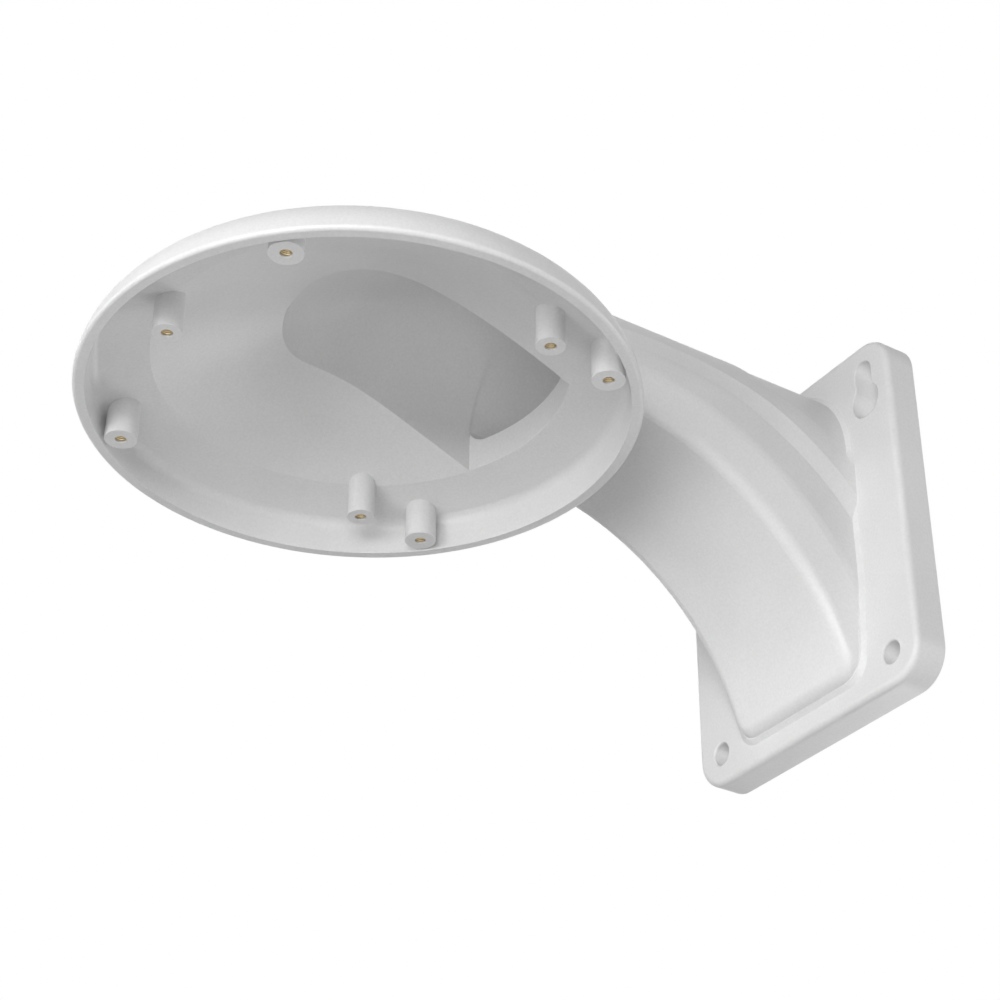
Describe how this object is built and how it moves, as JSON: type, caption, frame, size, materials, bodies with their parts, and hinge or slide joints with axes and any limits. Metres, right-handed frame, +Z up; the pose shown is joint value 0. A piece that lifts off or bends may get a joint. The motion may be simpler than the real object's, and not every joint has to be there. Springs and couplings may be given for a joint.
{
  "type": "camera wall bracket",
  "caption": "Hollow curved wall arm with a shallow downward dish and brass-lined screw bosses to carry a dome camera, on a flat plate with screw holes and keyholes.",
  "frame": {"origin": "centre of the wall plate's back face, midway between its two screw holes and its two keyholes", "axes": "+Y into the wall, so the arm reaches out along -Y; +Z up, the dish opens downwards; +X to the right for someone who faces the wall"},
  "size_m": [0.1216, 0.1876, 0.0916],
  "materials": {
    "body": "satin white moulded plastic with a very fine grain",
    "insert": "plain machined brass, tapped"
  },
  "bodies": {
    "root": {"bracket_body": "body", "thread_insert_1": "insert", "thread_insert_2": "insert", "thread_insert_3": "insert", "thread_insert_4": "insert", "thread_insert_5": "insert", "thread_insert_6": "insert", "thread_insert_7": "insert"}
  },
  "joints": []
}
